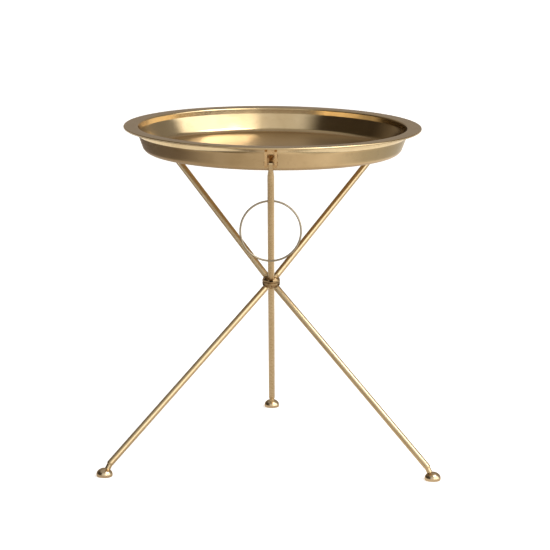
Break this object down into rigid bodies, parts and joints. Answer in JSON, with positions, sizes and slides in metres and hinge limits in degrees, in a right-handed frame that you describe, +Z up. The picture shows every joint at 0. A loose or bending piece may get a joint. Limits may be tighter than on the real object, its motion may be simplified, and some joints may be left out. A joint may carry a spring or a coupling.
{
  "type": "folding tray table",
  "caption": "Round brass tray table: a flat-rimmed pan lifts off a folding tripod of crossing rods with a small round hub, domed feet and a hanging ring.",
  "frame": {"origin": "on the floor, at the middle of the footprint's bounding box; the table's upright centre line is 39 mm in front of it, at y = -0.039", "axes": "+Z up, front of the table (its front arm and ring) towards -Y, +X to the right seen from the front"},
  "size_m": [0.5718, 0.578, 0.568],
  "materials": {
    "tray_brass": "satin",
    "bracket_brass": "satin",
    "rod_brass": "polished",
    "hub_brass": "satin, darkened",
    "pin_brass": "satin",
    "foot_brass": "polished",
    "ring_brass": "satin, darkened",
    "rim_wire_iron": "plain, hidden in the rolled edge",
    "pad_felt": "felt"
  },
  "bodies": {
    "hub": {"upper_hub_disc": "hub_brass", "lower_hub_disc": "hub_brass", "hub_spacer": "hub_brass", "hub_rivet": "pin_brass", "arm_pivot_pins": "pin_brass", "leg_pivot_pins": "pin_brass"},
    "arm_front": {"front_arm": "rod_brass"},
    "arm_rear_left": {"rear_left_arm": "rod_brass"},
    "arm_rear_right": {"rear_right_arm": "rod_brass"},
    "leg_back": {"back_leg": "rod_brass", "back_foot_stud": "rod_brass", "back_foot": "foot_brass", "back_foot_pad": "pad_felt"},
    "leg_front_left": {"front_left_leg": "rod_brass", "front_left_foot_stud": "rod_brass", "front_left_foot": "foot_brass", "front_left_foot_pad": "pad_felt"},
    "leg_front_right": {"front_right_leg": "rod_brass", "front_right_foot_stud": "rod_brass", "front_right_foot": "foot_brass", "front_right_foot_pad": "pad_felt"},
    "tray": {"tray_pan": "tray_brass", "rim_wire": "rim_wire_iron", "front_bracket": "bracket_brass", "rear_left_bracket": "bracket_brass", "rear_right_bracket": "bracket_brass", "front_cross_pin": "pin_brass", "rear_left_cross_pin": "pin_brass", "rear_right_cross_pin": "pin_brass"},
    "ring": {"hanging_ring": "ring_brass"}
  },
  "joints": [
    {"name": "arm_front_fold", "type": "hinge", "parent": "hub", "child": "arm_front", "pos_m": [0, -0.046, 0.3072], "axis": [-1, 0, 0], "range_deg": [0, 36]},
    {"name": "arm_rear_left_fold", "type": "hinge", "parent": "hub", "child": "arm_rear_left", "pos_m": [-0.00606, -0.0355, 0.3072], "axis": [0.5, 0.866, 0], "range_deg": [0, 36]},
    {"name": "arm_rear_right_fold", "type": "hinge", "parent": "hub", "child": "arm_rear_right", "pos_m": [0.00606, -0.0355, 0.3072], "axis": [0.5, -0.866, 0], "range_deg": [0, 36]},
    {"name": "leg_back_fold", "type": "hinge", "parent": "hub", "child": "leg_back", "pos_m": [0, -0.032, 0.2948], "axis": [-1, 0, 0], "range_deg": [0, 39]},
    {"name": "leg_front_left_fold", "type": "hinge", "parent": "hub", "child": "leg_front_left", "pos_m": [-0.00606, -0.0425, 0.2948], "axis": [0.5, -0.866, 0], "range_deg": [0, 39]},
    {"name": "leg_front_right_fold", "type": "hinge", "parent": "hub", "child": "leg_front_right", "pos_m": [0.00606, -0.0425, 0.2948], "axis": [0.5, 0.866, 0], "range_deg": [0, 39]},
    {"name": "tray_lift", "type": "slide", "parent": "hub", "child": "tray", "axis": [0, 0, 1], "range_m": [0, 0.3]},
    {"name": "ring_swing", "type": "hinge", "parent": "arm_front", "child": "ring", "pos_m": [0, -0.20287, 0.46794], "axis": [-1, 0, 0], "range_deg": [-35, 90]}
  ],
  "couplings": [
    {"joint": "arm_rear_left_fold", "follows": "arm_front_fold", "ratio": 1},
    {"joint": "arm_rear_right_fold", "follows": "arm_front_fold", "ratio": 1},
    {"joint": "tray_lift", "follows": "arm_front_fold", "m_per_rad": 0.475},
    {"joint": "leg_front_left_fold", "follows": "leg_back_fold", "ratio": 1},
    {"joint": "leg_front_right_fold", "follows": "leg_back_fold", "ratio": 1}
  ]
}
